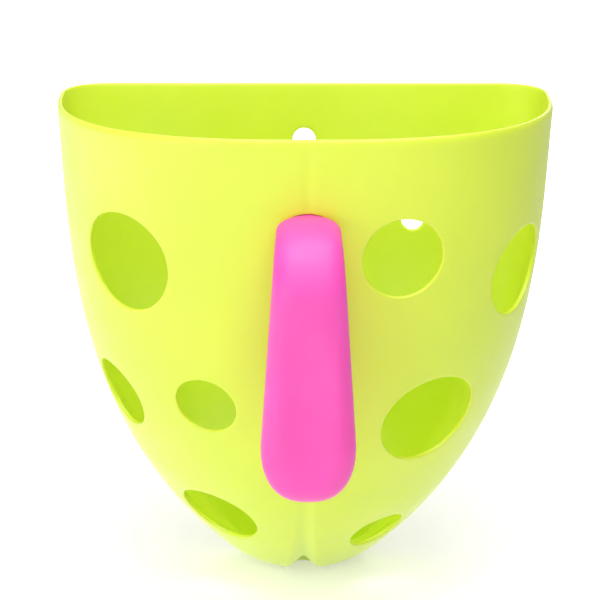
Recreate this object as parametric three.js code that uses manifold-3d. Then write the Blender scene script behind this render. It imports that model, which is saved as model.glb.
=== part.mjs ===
// Wall-hung bath toy scoop: a moulded basket with drain holes and a hollow arched handle.
// Millimetres, +Z up. The flat back lies in the plane y = 0 and the front faces -Y.

import * as THREE from 'three';
import { mergeVertices } from 'three/addons/utils/BufferGeometryUtils.js';
import Module from 'manifold-3d';

const wasm = await Module();
wasm.setup();

const { degToRad, lerp } = THREE.MathUtils;

// Basket: the rim, the wall and the side outline from the rim down to the small flat floor
const rimWidth = 260;
const rimDepth = 137;
const bodyHeight = 274;
const backCornerRadius = 24;
const rimSquareness = 2.58;
const floorSquareness = 1.8;
const wall = 2.6;
const rimRound = 1.1;
const rimDraft = 4.2;
const rimEase = 58;
const toeWidth = 92.5;
const toeHeight = 13;
const toeAngle = 44.6;
const toeEase = 123;
const floorWidth = 47;
const heelRound = 6;

// Crease down the front centre line: faint at the rim, deepening fast towards the floor
const creaseWidthRim = 9;
const creaseWidthFloor = 20;
const creaseDepthRim = 0.4;
const creaseDepthFloor = 7.5;
const creaseOnset = 7;

// Drain holes, cut square to the wall: bearing from the front centre line, in degrees,
// height as a share of the basket's height, and diameter
const drainHoles = [
  { bearing: -43.5, level: 0.746, diameter: 52.5 },
  { bearing: -62, level: 0.44, diameter: 40 },
  { bearing: -25.6, level: 0.467, diameter: 33 },
  { bearing: -39.5, level: 0.172, diameter: 45 },
  { bearing: 17.8, level: 0.775, diameter: 41 },
  { bearing: 59.3, level: 0.706, diameter: 48.5 },
  { bearing: 34.6, level: 0.425, diameter: 54.5 },
  { bearing: 38.5, level: 0.127, diameter: 31.5 },
];

// Hanging holes through the flat back: one on the centre line and a pair below it
const hangDiameter = 12.5;
const topHangBelowRim = 31;
const pairHangBelowRim = 76;
const pairHangSpacing = 120;

// Handle root: the tenon, its slot in the front wall and the flat seat pad inside
const rootBelowRim = 43;
const tenonWidth = 14.6;
const tenonHeight = 11;
const tenonCrown = 1.4;
const slotClearance = 0.6;
const seatGap = 0.3;
const padWidth = 38;
const padHeight = 28;
const padThickness = 2.2;
const padCorner = 5;

// Handle: an arch out of the wall that hangs straight down, widest near its free end.
// Its upper face leaves the slot level and rises slowly to the full thickness.
const neckLength = 3;
const bendRadius = 30;
const gripLength = 101;
const gripLean = 0;
const neckWidth = 31.7;
const palmWidth = 46.6;
const neckThickness = 15;
const palmThickness = 18;
const shoulderLength = 12;
const crestStart = 3;
const crestEnd = 40;
const endRound = 29;
const endSquareness = 2.4;
const tipRound = 10;
const sectionSquareness = 2.5;
const handleWall = 2.2;
const coverStart = 16;
const partingGap = 0.3;

// Palm dish in the front face
const dishDepth = 1.8;
const dishStart = 58;
const dishEndMargin = 8;
const dishWidthShare = 0.74;

// Screws of the rear cover, by their distance along the handle from the wall
const coverScrewAt = { upper: 66, lower: 118 };
const coverShank = 2.9;
const coverHead = 6;
const coverHeadHeight = 2;
const coverBoss = 8;
const coverSleeve = 10.4;
const headSeat = 3;
const pilotTip = 2;

// Clamp plate and screw inside the basket
const plateWidth = 34;
const plateHeight = 24;
const plateThickness = 3;
const plateCorner = 4;
const clampShank = 4;
const clampHead = 8;
const clampHeadHeight = 2.8;
const clampGrip = 9;

const screwClearance = 0.3;
const cutMargin = 4;

// Fineness of the facets
const backSteps = 2;
const cornerSteps = 4;
const frontSteps = 12;
const creaseSteps = 3;
const flankSteps = 15;
const toeSteps = 4;
const roundSteps = 2;
const holeSides = 24;
const handleSides = 24;
const shoulderSteps = 3;
const bendSteps = 6;
const gripSteps = 6;
const endSteps = 6;
const screwSides = 12;
const searchSteps = 40;
const slopeStep = 0.01;

const rimHalf = rimWidth / 2;
const overCut = 2 * rimWidth;

// Solids and meshes

function toSolid(geometry) {
  const bare = geometry.clone();
  bare.deleteAttribute('normal');
  bare.deleteAttribute('uv');
  const merged = mergeVertices(bare);
  return new wasm.Manifold(new wasm.Mesh({
    numProp: 3,
    vertProperties: new Float32Array(merged.attributes.position.array),
    triVerts: new Uint32Array(merged.index.array),
  }));
}

function toGeometry(solid) {
  const mesh = solid.getMesh();
  const geometry = new THREE.BufferGeometry();
  geometry.setAttribute('position', new THREE.BufferAttribute(mesh.vertProperties, mesh.numProp));
  geometry.setIndex(new THREE.BufferAttribute(mesh.triVerts, 1));
  geometry.computeVertexNormals();
  return geometry;
}

// Closed skin over a stack of rings, with a fan over the first and the last ring.
function skin(rings) {
  const count = rings[0].length;
  const positions = rings.flat();
  const last = rings.length - 1;
  const index = [];
  for (let row = 0; row < last; row += 1) {
    for (let i = 0; i < count; i += 1) {
      const a = row * count + i;
      const b = row * count + (i + 1) % count;
      index.push(a, b, a + count, b, b + count, a + count);
    }
  }
  for (const row of [0, last]) {
    const centre = new THREE.Vector3();
    rings[row].forEach((point) => centre.addScaledVector(point, 1 / count));
    const hub = positions.push(centre) - 1;
    for (let i = 0; i < count; i += 1) {
      const a = row * count + i;
      const b = row * count + (i + 1) % count;
      index.push(...(row === 0 ? [hub, b, a] : [hub, a, b]));
    }
  }
  const geometry = new THREE.BufferGeometry().setFromPoints(positions);
  geometry.setIndex(index);
  return geometry;
}

// Round bar from one point to another.
function bar(from, to, diameter, sides) {
  const along = to.clone().sub(from);
  const geometry = new THREE.CylinderGeometry(diameter / 2, diameter / 2, along.length(), sides);
  const turn = new THREE.Quaternion();
  turn.setFromUnitVectors(new THREE.Vector3(0, 1, 0), along.clone().normalize());
  geometry.applyQuaternion(turn);
  geometry.translate(...from.clone().add(to).divideScalar(2).toArray());
  return toSolid(geometry);
}

// Plate with round corners in the local x-z plane, from y = start to y = end.
function roundedPlate(width, height, radius, start, end) {
  const x = width / 2;
  const z = height / 2;
  const shape = new THREE.Shape();
  shape.absarc(x - radius, z - radius, radius, 0, Math.PI / 2);
  shape.absarc(radius - x, z - radius, radius, Math.PI / 2, Math.PI);
  shape.absarc(radius - x, radius - z, radius, Math.PI, 3 * Math.PI / 2);
  shape.absarc(x - radius, radius - z, radius, 3 * Math.PI / 2, 2 * Math.PI);
  return standing(shape, start, end);
}

// Extrude a shape drawn in x and z from y = start to y = end.
function standing(shape, start, end) {
  const geometry = new THREE.ExtrudeGeometry(shape, {
    depth: end - start, bevelEnabled: false, curveSegments: cornerSteps,
  });
  geometry.rotateX(Math.PI / 2);
  geometry.translate(0, end, 0);
  return toSolid(geometry);
}

// Basket wall

const flank = new THREE.Path();
{
  const rimTurn = degToRad(rimDraft);
  const toeTurn = degToRad(toeAngle);
  const toeHalf = toeWidth / 2;
  flank.moveTo(rimHalf, bodyHeight);
  flank.bezierCurveTo(
    rimHalf - rimEase * Math.sin(rimTurn), bodyHeight - rimEase * Math.cos(rimTurn),
    toeHalf + toeEase * Math.cos(toeTurn), toeHeight + toeEase * Math.sin(toeTurn),
    toeHalf, toeHeight,
  );
  flank.quadraticCurveTo(toeHalf - toeHeight / Math.tan(toeTurn), 0, floorWidth / 2, 0);
}

// Half-width of the basket at a height, found by halving along the side outline.
function halfWidthAt(height) {
  let upper = 0;
  let lower = 1;
  for (let i = 0; i < searchSteps; i += 1) {
    const middle = (upper + lower) / 2;
    if (flank.getPoint(middle).y > height) upper = middle;
    else lower = middle;
  }
  return flank.getPoint(upper).x;
}

// Shares along the side outline, from the floor up to just below the rim.
function flankShares() {
  const [side, whole] = flank.getCurveLengths();
  const toe = side / whole;
  const shares = [];
  for (let i = 0; i < toeSteps; i += 1) shares.push(lerp(1, toe, i / toeSteps));
  for (let i = 0; i < flankSteps; i += 1) shares.push(lerp(toe, 0, i / flankSteps));
  return shares;
}

// How far the crease has opened at a height: 0 at the rim, 1 at the floor.
function creaseShare(height) {
  return THREE.MathUtils.clamp(1 - height / bodyHeight, 0, 1) ** creaseOnset;
}

// Every level is the rim's outline drawn smaller about the middle of the back.
function levelSizes(halfWidth) {
  const scale = halfWidth / rimHalf;
  const corner = backCornerRadius * scale;
  return { corner, bulge: rimDepth * scale - corner };
}

// Power of the front's outline: squarer at the rim, more wedge-like at the floor.
function frontPower(height) {
  return 2 / lerp(floorSquareness, rimSquareness, height / bodyHeight);
}

// Point of the front at a bearing from the centre line, without the crease.
function frontPoint(halfWidth, height, bearing) {
  const { corner, bulge } = levelSizes(halfWidth);
  const power = frontPower(height);
  const side = Math.sin(bearing);
  return new THREE.Vector3(
    Math.sign(side) * halfWidth * Math.abs(side) ** power,
    -corner - bulge * Math.cos(bearing) ** power,
    height,
  );
}

function bearingOf(x, halfWidth, height) {
  return Math.asin((x / halfWidth) ** (1 / frontPower(height)));
}

// One half of a level's outline, from the middle of the back round to the crease's valley.
function halfOutline(halfWidth, height) {
  const { corner } = levelSizes(halfWidth);
  const creaseHalf = lerp(creaseWidthRim, creaseWidthFloor, creaseShare(height)) / 2;
  const points = [];
  for (let i = 0; i <= backSteps; i += 1) {
    points.push(new THREE.Vector3((halfWidth - corner) * i / backSteps, 0, height));
  }
  for (let i = 1; i <= cornerSteps; i += 1) {
    const turn = Math.PI / 2 * (i / cornerSteps);
    const x = halfWidth - corner + corner * Math.sin(turn);
    points.push(new THREE.Vector3(x, corner * Math.cos(turn) - corner, height));
  }
  const creaseBearing = bearingOf(creaseHalf, halfWidth, height);
  for (let i = 1; i <= frontSteps; i += 1) {
    points.push(frontPoint(halfWidth, height, lerp(Math.PI / 2, creaseBearing, i / frontSteps)));
  }
  for (let i = 1; i <= creaseSteps; i += 1) {
    const x = creaseHalf * (1 - i / creaseSteps);
    points.push(frontPoint(halfWidth, height, bearingOf(x, halfWidth, height)));
  }
  return points;
}

// How far the round edge between the back and the floor draws the back in at a height.
function heelSink(height) {
  const above = Math.max(heelRound - height, 0);
  return heelRound - Math.sqrt(heelRound ** 2 - above ** 2);
}

// Closed outline of the level at a share of the way along the side outline, without the crease.
function plainRing(share) {
  const { x, y } = flank.getPoint(share);
  const levelDepth = rimDepth * x / rimHalf;
  const right = halfOutline(x, y);
  right.forEach((point) => {
    point.y -= heelSink(y) * (1 + point.y / levelDepth);
  });
  const left = right.map((point) => new THREE.Vector3(-point.x, point.y, point.z));
  return [...left, ...right.slice(1, -1).reverse()];
}

// A level's outline moved inwards, square to the wall, by a depth for each of its points.
function sunkRing(ringAt, share, depthAt) {
  const ring = ringAt(share);
  const above = ringAt(Math.max(share - slopeStep, 0));
  const below = ringAt(Math.min(share + slopeStep, 1));
  return ring.map((point, i) => {
    const next = ring[(i + 1) % ring.length];
    const before = ring[(i + ring.length - 1) % ring.length];
    const up = above[i].clone().sub(below[i]);
    const normal = next.clone().sub(before).cross(up).normalize();
    return point.clone().addScaledVector(normal, -depthAt(point, i));
  });
}

// Outer face with the crease pressed into it, and the inner face one wall behind it.
const valley = backSteps + cornerSteps + frontSteps + creaseSteps;

function creaseSink(point, i) {
  const near = Math.max(1 - Math.abs(i - valley) / creaseSteps, 0);
  const sunk = (1 - Math.cos(Math.PI * near)) / 2;
  return lerp(creaseDepthRim, creaseDepthFloor, creaseShare(point.z)) * sunk;
}

function outerRing(share) {
  return sunkRing(plainRing, share, creaseSink);
}

function innerRing(share) {
  return sunkRing(outerRing, share, () => wall);
}

// The rim's outline moved inwards in its own plane and set at a height.
function rimRing(distance, height) {
  const ring = outerRing(0);
  return ring.map((point, i) => {
    const next = ring[(i + 1) % ring.length];
    const before = ring[(i + ring.length - 1) % ring.length];
    const along = next.clone().sub(before).normalize();
    return new THREE.Vector3(point.x - distance * along.y, point.y + distance * along.x, height);
  });
}

function makeBasketWall() {
  const outer = [];
  const inner = [];
  for (const share of flankShares()) {
    outer.push(outerRing(share));
    inner.push(innerRing(share));
  }
  for (let i = 0; i <= roundSteps; i += 1) {
    const turn = Math.PI / 2 * (i / roundSteps);
    const step = rimRound * (1 - Math.cos(turn));
    const height = bodyHeight - rimRound + rimRound * Math.sin(turn);
    outer.push(rimRing(step, height));
    inner.push(rimRing(wall - step, height));
  }
  inner.push(rimRing(wall - rimRound, bodyHeight + cutMargin));
  const underFloor = new THREE.BoxGeometry(overCut, overCut, overCut);
  underFloor.translate(0, 0, wall - overCut / 2);
  const hollow = toSolid(skin(inner)).subtract(toSolid(underFloor));
  return toSolid(skin(outer)).subtract(hollow);
}

// A hole square to the front wall.
function drainCutter({ bearing, level, diameter }) {
  const turn = degToRad(bearing);
  const height = level * bodyHeight;
  const at = (z, angle) => frontPoint(halfWidthAt(z), z, angle);
  const centre = at(height, turn);
  const across = at(height, turn + slopeStep).sub(at(height, turn - slopeStep));
  const up = at(height + wall, turn).sub(at(height - wall, turn));
  const out = across.cross(up).normalize();
  const reach = diameter / 2 + wall;
  const inside = centre.clone().addScaledVector(out, -reach);
  const outside = centre.clone().addScaledVector(out, reach);
  return bar(inside, outside, diameter, holeSides);
}

function hangCutter(x, belowRim) {
  const height = bodyHeight - belowRim;
  const front = new THREE.Vector3(x, -wall - cutMargin, height);
  const back = new THREE.Vector3(x, cutMargin, height);
  return bar(front, back, hangDiameter, holeSides);
}

// Handle root: local y runs into the basket from the wall's outer face, z up the wall

const rootHeight = bodyHeight - rootBelowRim;
const rootFront = frontPoint(halfWidthAt(rootHeight), rootHeight, 0);
const wallAbove = frontPoint(halfWidthAt(rootHeight + wall), rootHeight + wall, 0);
const wallLean = Math.atan2(rootFront.y - wallAbove.y, wall);
const rootTurn = new THREE.Matrix4().makeRotationX(wallLean).setPosition(rootFront);

const padFace = wall + padThickness;
const plateFace = padFace + seatGap;
const tenonEnd = padFace;

// Tenon outline with a crowned top; grown on every side for its slot.
function tenonShape(grow) {
  const half = tenonWidth / 2 + grow;
  const low = -tenonHeight / 2 - grow;
  const high = tenonHeight / 2 + grow;
  const shape = new THREE.Shape();
  shape.moveTo(-half, low);
  shape.lineTo(half, low);
  shape.lineTo(half, high - tenonCrown);
  shape.quadraticCurveTo(0, high + tenonCrown, -half, high - tenonCrown);
  return shape;
}

function makeScoopBody() {
  const pad = roundedPlate(padWidth, padHeight, padCorner, wall - seatGap, padFace);
  const slot = standing(tenonShape(slotClearance), -cutMargin, padFace + cutMargin);
  let body = makeBasketWall();
  body = body.add(pad.transform(rootTurn.elements));
  body = body.subtract(slot.transform(rootTurn.elements));
  for (const hole of drainHoles) body = body.subtract(drainCutter(hole));
  body = body.subtract(hangCutter(0, topHangBelowRim));
  for (const side of [-1, 1]) {
    body = body.subtract(hangCutter(side * pairHangSpacing / 2, pairHangBelowRim));
  }
  return body;
}

// Handle, in the root's frame

const bendAngle = Math.PI / 2 - wallLean + degToRad(gripLean);
const bendLength = bendRadius * bendAngle;
const gripStart = neckLength + bendLength;
const handleLength = gripStart + gripLength;
const endStart = handleLength - endRound;

// Place on the handle's middle line at a distance from the wall, with its outward direction.
function spine(distance) {
  const turn = THREE.MathUtils.clamp((distance - neckLength) / bendRadius, 0, bendAngle);
  const straight = Math.min(distance, neckLength) + Math.max(distance - gripStart, 0);
  const early = Math.min(distance, neckLength);
  const late = straight - early;
  const y = -early - bendRadius * Math.sin(turn) - late * Math.cos(turn);
  const z = bendRadius * (Math.cos(turn) - 1) - late * Math.sin(turn);
  const out = new THREE.Vector3(0, -Math.sin(turn), Math.cos(turn));
  return { point: new THREE.Vector3(0, y, z), out };
}

function onHandle(distance, x, depth) {
  const { point, out } = spine(distance);
  return point.addScaledVector(out, depth).setX(x);
}

// Quarter-round easing: 0 at the start, 1 at the end, square to the start. Higher powers are squarer.
function swell(share, power = 2) {
  return (1 - (1 - THREE.MathUtils.clamp(share, 0, 1)) ** power) ** (1 / power);
}

// Half-width of the handle, and its thickness in front of and behind the middle line.
function handleHalves(distance) {
  const along = (distance - shoulderLength) / (endStart - shoulderLength);
  const share = THREE.MathUtils.clamp(along, 0, 1);
  const left = handleLength - distance;
  const shoulder = swell(distance / shoulderLength);
  const crest = THREE.MathUtils.smoothstep(distance, crestStart, crestEnd);
  const width = lerp(neckWidth, palmWidth, share) * swell(left / endRound, endSquareness);
  const thickness = lerp(neckThickness, palmThickness, share) * swell(left / tipRound);
  return {
    width: lerp(tenonWidth, width, shoulder) / 2,
    front: lerp(tenonHeight, thickness, crest) / 2,
    rear: lerp(tenonHeight, thickness, shoulder) / 2,
  };
}

// How far the palm dish sinks below the front face.
function dishAt(distance, x, halfWidth) {
  const span = (distance - dishStart) / (handleLength - dishEndMargin - dishStart);
  const across = x / (halfWidth * dishWidthShare);
  if (span <= 0 || span >= 1 || Math.abs(across) >= 1) return 0;
  const lengthwise = swell(2 * Math.min(span, 1 - span));
  return dishDepth * lengthwise ** 2 * (1 - across ** 2) ** 2;
}

// Cross-section of the handle, drawn smaller all round by an inset.
function handleRing(distance, inset) {
  const { width, front, rear } = handleHalves(distance);
  const power = 2 / sectionSquareness;
  const ring = [];
  for (let i = 0; i < handleSides; i += 1) {
    const turn = 2 * Math.PI * i / handleSides;
    const cos = Math.cos(turn);
    const sin = Math.sin(turn);
    const x = Math.sign(cos) * (width - inset) * Math.abs(cos) ** power;
    const reach = (sin > 0 ? front : rear) - inset;
    let depth = Math.sign(sin) * reach * Math.abs(sin) ** power;
    if (sin > 0) depth -= dishAt(distance, x, width) * sin;
    ring.push(onHandle(distance, x, depth));
  }
  return ring;
}

// Distances of the cross-sections, closer together where the outline turns.
function handleStations(start, end) {
  const stations = [start];
  const add = (distance) => {
    if (distance > stations.at(-1) + partingGap && distance < end - partingGap) stations.push(distance);
  };
  for (let i = 1; i <= shoulderSteps; i += 1) {
    add(shoulderLength * (1 - Math.cos(Math.PI / 2 * i / shoulderSteps)));
  }
  for (let i = 1; i <= bendSteps; i += 1) add(lerp(shoulderLength, gripStart, i / bendSteps));
  for (let i = 1; i <= gripSteps; i += 1) add(lerp(gripStart, endStart, i / gripSteps));
  for (let i = 1; i <= endSteps; i += 1) {
    add(lerp(endStart, end, Math.sin(Math.PI / 2 * i / endSteps)));
  }
  stations.push(end);
  return stations;
}

// Block behind the parting surface, from a distance along the handle to past its free end.
function partingBlock(start, face) {
  const back = -palmThickness;
  const rings = [];
  for (const distance of handleStations(start, handleLength + cutMargin)) {
    rings.push([
      onHandle(distance, -palmWidth, back), onHandle(distance, palmWidth, back),
      onHandle(distance, palmWidth, face), onHandle(distance, -palmWidth, face),
    ]);
  }
  return toSolid(skin(rings));
}

const tipInset = partingGap / 2;
const handleOuter = toSolid(skin(
  handleStations(seatGap, handleLength - tipInset).map((distance) => handleRing(distance, 0)),
));
const hollowEnd = handleLength - 2 * handleWall;
const handleHollow = toSolid(skin(
  handleStations(coverStart + handleWall, hollowEnd)
    .map((distance) => handleRing(distance, handleWall)),
));

function coverBar(distance, from, to, diameter) {
  return bar(onHandle(distance, 0, from), onHandle(distance, 0, to), diameter, screwSides);
}

// Depths along a cover screw: the front shell's inner face, the screw's tip and the head's seat
function coverDepths(distance) {
  const { width, front, rear } = handleHalves(distance);
  const inner = front - dishAt(distance, 0, width) - handleWall;
  return { inner, tip: inner - pilotTip, seat: headSeat - rear, back: -rear };
}

function makeHandleFront() {
  const behind = partingBlock(coverStart, partingGap / 2);
  const tenonStart = -shoulderLength / 2;
  let shell = handleOuter.subtract(behind).subtract(handleHollow);
  shell = shell.add(standing(tenonShape(0), tenonStart, tenonEnd));
  for (const distance of Object.values(coverScrewAt)) {
    const { inner, tip } = coverDepths(distance);
    const boss = coverBar(distance, partingGap / 2, inner + handleWall / 2, coverBoss);
    const pilot = coverBar(distance, -cutMargin, tip + screwClearance, coverShank + 2 * screwClearance);
    shell = shell.add(boss).subtract(pilot);
  }
  const pilotEnd = new THREE.Vector3(0, tenonEnd - clampGrip - screwClearance, 0);
  const pilotMouth = new THREE.Vector3(0, tenonEnd + cutMargin, 0);
  return shell.subtract(bar(pilotEnd, pilotMouth, clampShank + 2 * screwClearance, screwSides));
}

function makeHandleRear() {
  const half = partingBlock(coverStart + partingGap, -partingGap / 2);
  const filled = handleOuter.intersect(half);
  let cover = filled.subtract(handleHollow);
  for (const distance of Object.values(coverScrewAt)) {
    const { seat, back } = coverDepths(distance);
    const sleeve = coverBar(distance, -partingGap / 2, back, coverSleeve).intersect(filled);
    const shankHole = coverBar(distance, cutMargin, back, coverShank + 2 * screwClearance);
    const counterbore = coverBar(distance, seat, back - cutMargin, coverHead + 2 * screwClearance);
    cover = cover.add(sleeve).subtract(shankHole).subtract(counterbore);
  }
  return cover;
}

// Screws: shank along +Y from the head's underside at y = 0

function screwGeometry(shank, length, head, headHeight) {
  const outline = new THREE.Path();
  outline.moveTo(0, -headHeight);
  outline.quadraticCurveTo(head / 2, -headHeight, head / 2, 0);
  outline.lineTo(shank / 2, 0);
  outline.lineTo(shank / 2, length - shank / 2);
  outline.lineTo(0, length);
  return new THREE.LatheGeometry(outline.getPoints(cornerSteps), screwSides);
}

function coverScrewGeometry(distance) {
  const { tip, seat } = coverDepths(distance);
  const { out } = spine(distance);
  const length = tip - seat + screwClearance;
  const geometry = screwGeometry(coverShank, length, coverHead, coverHeadHeight);
  const turn = new THREE.Quaternion().setFromUnitVectors(new THREE.Vector3(0, 1, 0), out);
  geometry.applyQuaternion(turn);
  geometry.translate(...onHandle(distance, 0, seat - screwClearance).toArray());
  return geometry;
}

function clampScrewGeometry() {
  const length = clampGrip + plateThickness + seatGap + screwClearance;
  const geometry = screwGeometry(clampShank, length, clampHead, clampHeadHeight);
  geometry.rotateX(Math.PI);
  geometry.translate(0, plateFace + plateThickness + screwClearance, 0);
  return geometry;
}

function makeClampPlate() {
  const plate = roundedPlate(
    plateWidth, plateHeight, plateCorner, plateFace, plateFace + plateThickness,
  );
  const from = new THREE.Vector3(0, plateFace - cutMargin, 0);
  const to = new THREE.Vector3(0, plateFace + plateThickness + cutMargin, 0);
  return plate.subtract(bar(from, to, clampShank + 2 * screwClearance, screwSides));
}

// Assembly

const limePlastic = { color: 0xd9f03a, roughness: 0.36, metalness: 0 };
const pinkPlastic = { color: 0xfb62c0, roughness: 0.4, metalness: 0 };
const stainless = { color: 0xc4c6c8, roughness: 0.3, metalness: 1 };

function piece(name, geometry, finish) {
  const mesh = new THREE.Mesh(geometry, new THREE.MeshStandardMaterial(finish));
  mesh.name = name;
  return mesh;
}

const handle = new THREE.Group();
handle.applyMatrix4(rootTurn);
handle.add(
  piece('handle_front_shell', toGeometry(makeHandleFront()), pinkPlastic),
  piece('handle_rear_cover', toGeometry(makeHandleRear()), pinkPlastic),
  piece('root_clamp_plate', toGeometry(makeClampPlate()), pinkPlastic),
  piece('root_clamp_screw', clampScrewGeometry(), stainless),
);
for (const [place, distance] of Object.entries(coverScrewAt)) {
  handle.add(piece(`cover_screw_${place}`, coverScrewGeometry(distance), stainless));
}

// The origin is on the back face, midway between the pair of hanging holes.
const organizer = new THREE.Group();
organizer.position.set(0, 0, pairHangBelowRim - bodyHeight);
organizer.add(piece('scoop_body', toGeometry(makeScoopBody()), limePlastic), handle);

export default organizer;
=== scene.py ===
import math

import bmesh
import bpy
import numpy as np
from mathutils import Matrix, Vector
from mathutils.geometry import delaunay_2d_cdt


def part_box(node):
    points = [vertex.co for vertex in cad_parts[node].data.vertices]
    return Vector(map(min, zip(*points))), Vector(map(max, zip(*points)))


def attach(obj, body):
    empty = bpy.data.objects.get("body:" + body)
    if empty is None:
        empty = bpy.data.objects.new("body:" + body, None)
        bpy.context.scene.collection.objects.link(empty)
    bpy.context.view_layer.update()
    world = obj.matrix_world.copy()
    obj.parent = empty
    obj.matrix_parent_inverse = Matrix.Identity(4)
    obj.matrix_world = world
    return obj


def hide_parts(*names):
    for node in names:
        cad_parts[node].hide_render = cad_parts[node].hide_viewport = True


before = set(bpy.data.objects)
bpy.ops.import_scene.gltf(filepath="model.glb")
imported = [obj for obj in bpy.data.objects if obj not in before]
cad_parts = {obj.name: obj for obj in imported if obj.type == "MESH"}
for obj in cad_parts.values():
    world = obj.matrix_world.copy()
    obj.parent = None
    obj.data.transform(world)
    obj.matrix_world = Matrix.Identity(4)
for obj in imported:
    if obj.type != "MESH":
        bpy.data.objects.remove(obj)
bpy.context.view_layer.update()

# Wall-hung bath toy scoop: moulded lime basket, pink two-part handle, stainless screws.
# Metres, +Z up, flat back in the plane y = 0, front towards -Y.

mm = 0.001
bodyLow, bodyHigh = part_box("scoop_body")
print("stage: frame loaded,", len(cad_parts), "nodes")


# Helpers

def lerp(a, b, share):
    return a + (b - a) * share


def unit(vectors):
    return vectors / np.linalg.norm(vectors, axis=-1, keepdims=True)


def swell(share, power=2):
    # quarter-round easing from 0 to 1, square to its start; a higher power is squarer
    return (1 - (1 - np.clip(share, 0, 1)) ** power) ** (1 / power)


def linearColour(hexCode):
    # sRGB hex to linear RGBA
    parts = [int(hexCode[i:i + 2], 16) / 255 for i in (1, 3, 5)]
    return (*[c / 12.92 if c <= 0.04045 else ((c + 0.055) / 1.055) ** 2.4 for c in parts], 1.0)


def addNode(tree, kind, inputs=None, **settings):
    node = tree.nodes.new(kind)
    for name, value in settings.items():
        setattr(node, name, value)
    for name, value in (inputs or {}).items():
        if isinstance(value, bpy.types.NodeSocket):
            tree.links.new(value, node.inputs[name])
        else:
            node.inputs[name].default_value = value
    return node


def nodeTree(holder):
    holder.use_nodes = True
    holder.node_tree.nodes.clear()
    return holder.node_tree


def weld(mesh, reach=0.002 * mm, sliver=0.001 * mm):
    # close the seams, drop slivers and turn the faces outwards
    work = bmesh.new()
    work.from_mesh(mesh)
    bmesh.ops.remove_doubles(work, verts=work.verts, dist=reach)
    bmesh.ops.dissolve_degenerate(work, edges=work.edges, dist=sliver)
    bmesh.ops.recalc_face_normals(work, faces=work.faces)
    work.to_mesh(mesh)
    work.free()


class Surface:
    # points and faces of one solid while it is built

    def __init__(self):
        self.points = []
        self.faces = []

    def add(self, points):
        start = len(self.points)
        self.points.extend(np.asarray(points, float).reshape(-1, 3).tolist())
        return start

    def skin(self, rows, closed=True):
        start = self.add(np.concatenate(rows))
        count = len(rows[0])
        for row in range(len(rows) - 1):
            for i in range(count if closed else count - 1):
                a = start + row * count + i
                b = start + row * count + (i + 1) % count
                self.faces.append((a, b, b + count, a + count))

    def fan(self, ring):
        start = self.add(ring)
        hub = self.add([np.mean(ring, axis=0)])
        count = len(ring)
        self.faces += [(start + i, start + (i + 1) % count, hub) for i in range(count)]

    def solid(self, name):
        mesh = bpy.data.meshes.new(name)
        mesh.from_pydata(self.points, [], self.faces)
        weld(mesh)
        made = bpy.data.objects.new(name, mesh)
        bpy.context.scene.collection.objects.link(made)
        return made


def combine(target, surface, operation):
    # exact cut or join with another solid, applied at once
    tool = surface.solid("tool")
    modifier = target.modifiers.new("combine", "BOOLEAN")
    modifier.object = tool
    modifier.operation = operation
    modifier.solver = "EXACT"
    graph = bpy.context.evaluated_depsgraph_get()
    result = bpy.data.meshes.new_from_object(target.evaluated_get(graph))
    target.modifiers.clear()
    weld(result)
    target.data = result
    bpy.data.objects.remove(tool)


def settle(piece, material, node, sharpAngle=40):
    # shade the piece, give it its finish and tie it to its solid
    mesh = piece.data
    mesh.name = piece.name
    mesh.shade_smooth()
    mesh.set_sharp_from_angle(angle=math.radians(sharpAngle))
    mesh.materials.clear()
    mesh.materials.append(material)
    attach(piece, "root")
    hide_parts(node)
    check = bmesh.new()
    check.from_mesh(mesh)
    openEdges = sum(1 for edge in check.edges if not edge.is_manifold)
    check.free()
    print("stage:", piece.name, "has", len(mesh.polygons), "faces and", openEdges, "open edges")


# Materials

noise = {  # stretch of the noise that a value runs over, and octaves
    "tintSpan": (0.35, 0.65), "span": (0.3, 0.7), "tintDetail": 3.0, "sheenDetail": 4.0, "fineDetail": 2.0,
}
limeMoulded = {
    "colour": "#e3f541", "deepColour": "#ddf13a",
    "ior": 1.49, "gloss": 0.8, "roughness": 0.40, "roughnessSpread": 0.05,
    "glow": 0.25, "glowDepth": 2.6 * mm, "glowSpread": (1.0, 1.0, 0.35),
    "tintSize": 70 * mm, "sheenSize": 18 * mm, "grainSize": 1.2 * mm, "grainDepth": 0.012 * mm,
}
pinkMoulded = {
    "colour": "#fc4dba", "deepColour": "#f845b2",
    "ior": 1.49, "gloss": 0.8, "roughness": 0.45, "roughnessSpread": 0.05,
    "glow": 0.30, "glowDepth": 4.0 * mm, "glowSpread": (1.0, 0.25, 0.4),
    "tintSize": 45 * mm, "sheenSize": 12 * mm, "grainSize": 1.0 * mm, "grainDepth": 0.012 * mm,
}


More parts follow.
